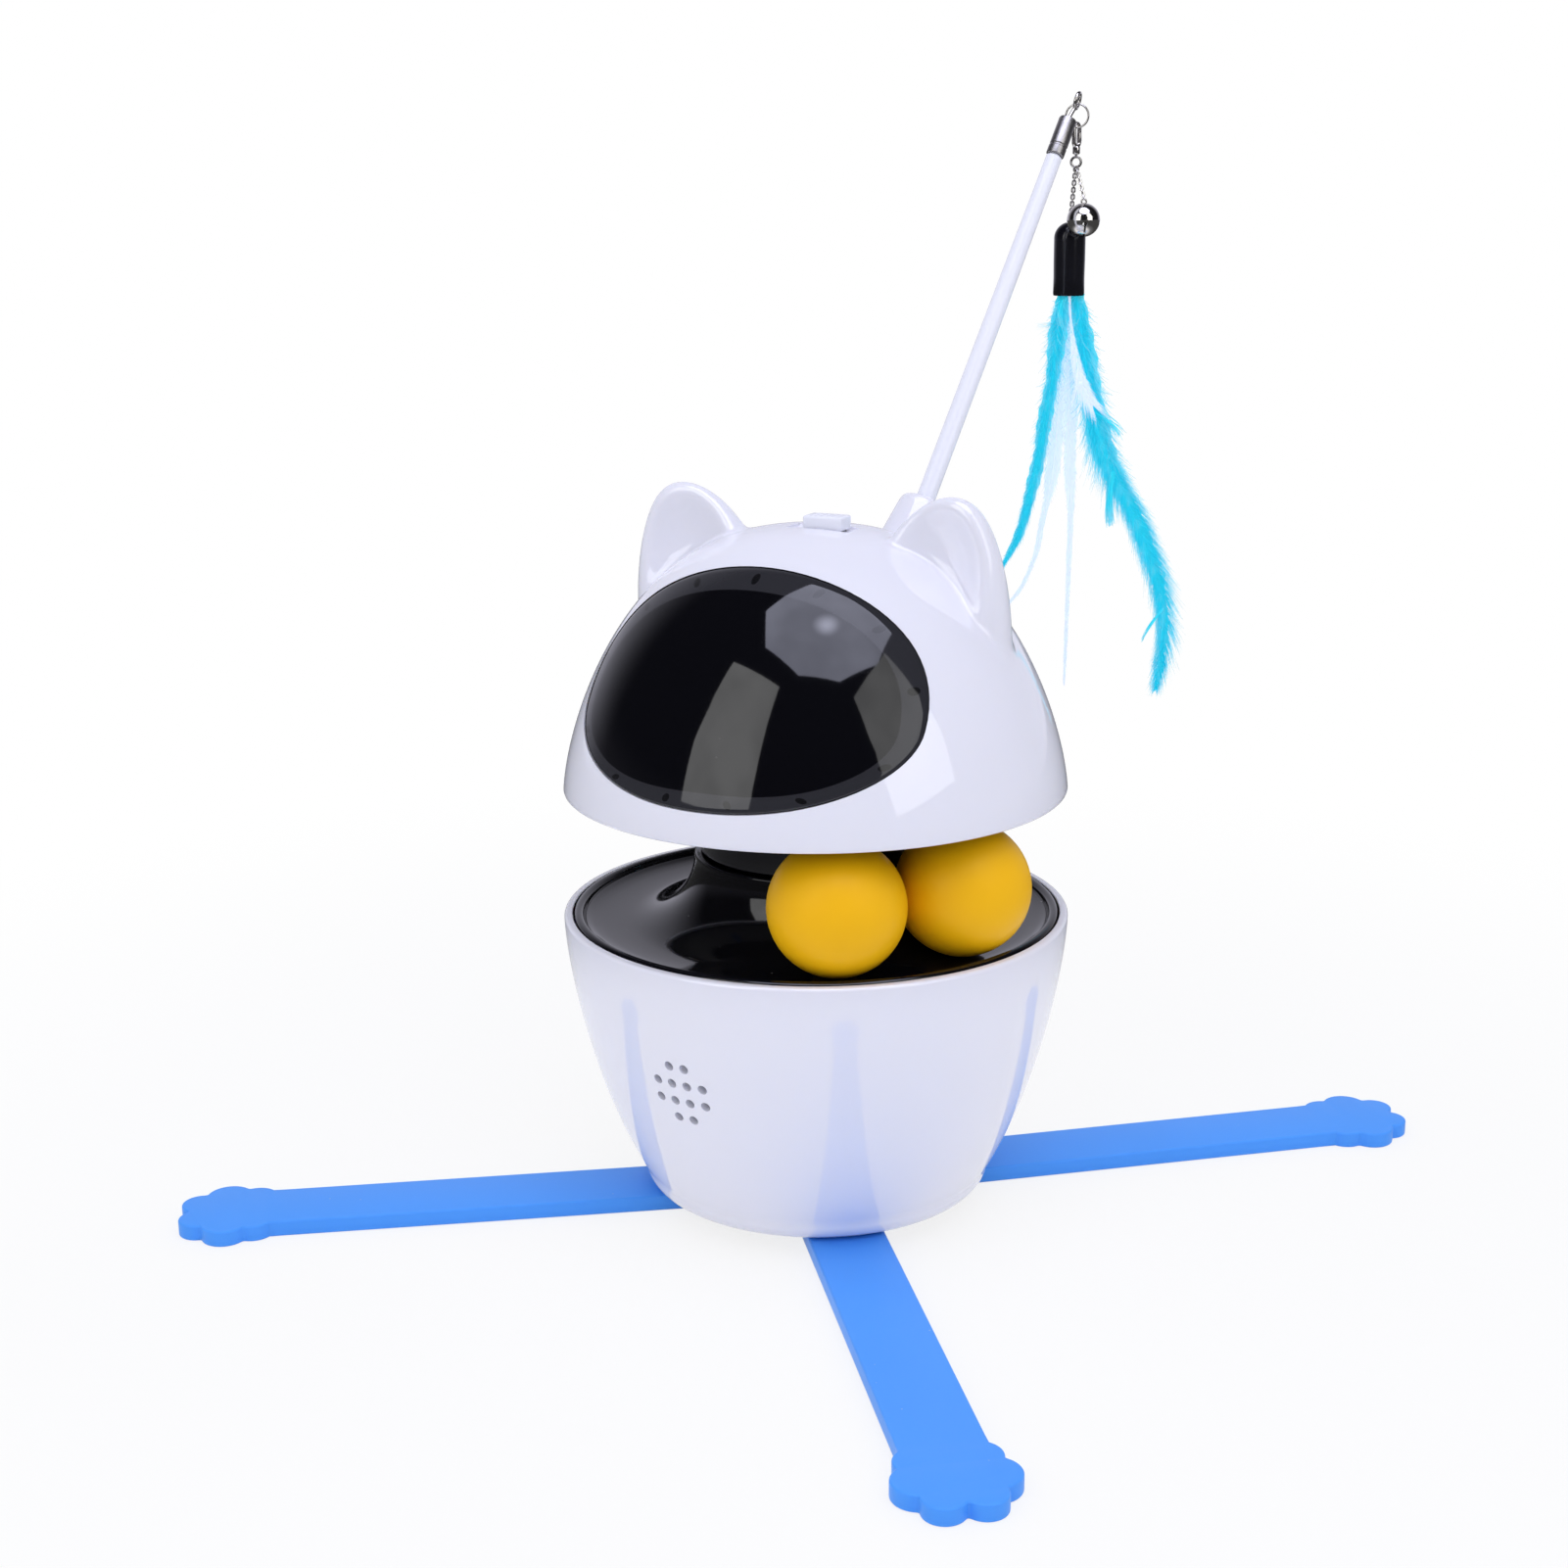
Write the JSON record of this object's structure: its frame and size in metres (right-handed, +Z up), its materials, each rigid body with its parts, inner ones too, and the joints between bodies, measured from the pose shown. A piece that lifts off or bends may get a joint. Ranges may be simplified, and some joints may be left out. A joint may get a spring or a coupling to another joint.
{
  "type": "automatic cat toy",
  "caption": "Domed robot cat toy: turning head with laser behind a dark visor and ears, open ball track, feather wand with bell, bowl base on soft paw straps.",
  "frame": {"origin": "on the floor, on the axis that the head turns on, which is the middle of the space that the straps reach over", "axes": "+Z up; -Y towards the viewer of the picture, +X to that viewer's right; the head's face looks 26 degrees left of -Y at rest"},
  "size_m": [0.3258, 0.3217, 0.2787],
  "materials": {
    "white_shell": "smooth semi-gloss white moulding",
    "black_track": "polished black moulding",
    "smoke_visor": "polished smoke-tinted window, nearly black",
    "dark_plastic": "matt dark moulding",
    "blue_silicone": "soft satin silicone",
    "yellow_plastic": "satin moulded ball",
    "white_rod": "smooth white rod",
    "grey_plastic": "matt grey moulding",
    "nylon": "natural moulded gear plastic",
    "steel": "plain drawn steel",
    "nickel": "bright nickel plating",
    "bronze": "sintered bearing metal",
    "brass": "turned brass",
    "green_board": "coated circuit board",
    "cell_wrap": "shrink wrap",
    "black_rubber": "glossy black sleeve",
    "blue_feather": "dyed feather",
    "white_feather": "undyed feather"
  },
  "bodies": {
    "base": {"lower_shell": "white_shell", "track_tray": "black_track", "base_plate": "white_shell", "strap_front": "blue_silicone", "strap_right": "blue_silicone", "strap_rear": "blue_silicone", "strap_left": "blue_silicone", "base_screw_1": "steel", "base_screw_2": "steel", "base_screw_3": "steel", "base_screw_4": "steel", "gear_plate": "grey_plastic", "plate_screw_1": "steel", "plate_screw_2": "steel", "plate_screw_3": "steel", "drive_motor": "steel", "idler_pin": "steel", "upper_bush": "bronze", "lower_bush": "bronze", "slip_ring": "grey_plastic", "battery": "cell_wrap", "main_board": "green_board", "charge_socket": "steel", "speaker": "grey_plastic"},
    "head": {"head_shell": "white_shell", "visor": "smoke_visor", "visor_retainer": "dark_plastic", "head_base": "black_track", "head_shaft": "steel", "head_gear": "nylon", "switch_board": "green_board", "laser_bracket": "grey_plastic", "tilt_motor": "steel", "head_screw_1": "steel", "head_screw_2": "steel", "head_screw_3": "steel"},
    "idler": {"idler_gear": "nylon"},
    "motor_wheel": {"drive_pinion": "brass"},
    "laser": {"laser_cradle": "grey_plastic", "laser_module": "brass"},
    "tilt_wheel": {"tilt_pinion": "brass"},
    "switch": {"switch_knob": "white_shell"},
    "wand": {"wand_rod": "white_rod", "wand_ferrule": "steel", "wand_eye": "nickel"},
    "ring": {"split_ring": "nickel"},
    "clasp_body": {"clasp": "nickel"},
    "lure": {"swivel_ring": "nickel", "chain_sleeve": "nickel", "feather_sleeve": "black_rubber", "feather_blue_left": "blue_feather", "feather_blue_right": "blue_feather", "feather_white_centre": "white_feather", "feather_white_left": "white_feather", "feather_white_front": "white_feather"},
    "bell_body": {"chain_bell": "nickel", "bell": "nickel"},
    "rolling_ball_1": {"ball_1": "yellow_plastic"},
    "rolling_ball_2": {"ball_2": "yellow_plastic"}
  },
  "joints": [
    {"name": "head_turn", "type": "hinge", "parent": "base", "child": "head", "pos_m": [0, 0, 0.1094], "axis": [0, 0, 1], "continuous": true},
    {"name": "idler_spin", "type": "hinge", "parent": "base", "child": "idler", "pos_m": [0.00673, -0.02511, 0.057], "axis": [0, 0, 1], "continuous": true},
    {"name": "motor_spin", "type": "hinge", "parent": "base", "child": "motor_wheel", "pos_m": [0.02605, -0.01994, 0.0514], "axis": [0, 0, 1], "continuous": true},
    {"name": "laser_tilt", "type": "hinge", "parent": "head", "child": "laser", "pos_m": [-0.01578, -0.03236, 0.127], "axis": [0.8988, -0.4384, 0], "range_deg": [-15, 20]},
    {"name": "tilt_wheel_spin", "type": "hinge", "parent": "head", "child": "tilt_wheel", "pos_m": [-0.01281, -0.02626, 0.12021], "axis": [0.8988, -0.4384, 0], "range_deg": [-45, 34]},
    {"name": "switch_slide", "type": "slide", "parent": "head", "child": "switch", "axis": [-0.8988, 0.4384, 0], "range_m": [0, 0.0022]},
    {"name": "wand_pull", "type": "slide", "parent": "head", "child": "wand", "axis": [0.3536, 0.3536, 0.866], "range_m": [0, 0.02]},
    {"name": "ring_swing", "type": "hinge", "parent": "wand", "child": "ring", "pos_m": [0.06961, 0.06961, 0.27536], "axis": [0.7071, -0.7071, 0], "range_deg": [0, 60]},
    {"name": "clasp_sway", "type": "hinge", "parent": "ring", "child": "clasp_body", "pos_m": [0.06961, 0.06961, 0.26936], "axis": [0.7071, 0.7071, 0], "range_deg": [-30, 30]},
    {"name": "swivel_spin", "type": "hinge", "parent": "clasp_body", "child": "lure", "pos_m": [0.06961, 0.06961, 0.2606], "axis": [0, 0, 1], "continuous": true},
    {"name": "bell_swing", "type": "hinge", "parent": "lure", "child": "bell_body", "pos_m": [0.06961, 0.06961, 0.25931], "axis": [-0.9312, -0.3644, 0], "range_deg": [0, 20]},
    {"name": "ball_1_roll", "type": "hinge", "parent": "base", "child": "rolling_ball_1", "pos_m": [0, 0, 0.0751], "axis": [0, 0, 1], "range_deg": [-137, 0]},
    {"name": "ball_2_roll", "type": "hinge", "parent": "base", "child": "rolling_ball_2", "pos_m": [0, 0, 0.0751], "axis": [0, 0, 1], "range_deg": [0, 137]}
  ],
  "couplings": [
    {"joint": "idler_spin", "follows": "head_turn", "ratio": -3.3333},
    {"joint": "motor_spin", "follows": "head_turn", "ratio": 10},
    {"joint": "tilt_wheel_spin", "follows": "laser_tilt", "ratio": -2.2}
  ]
}
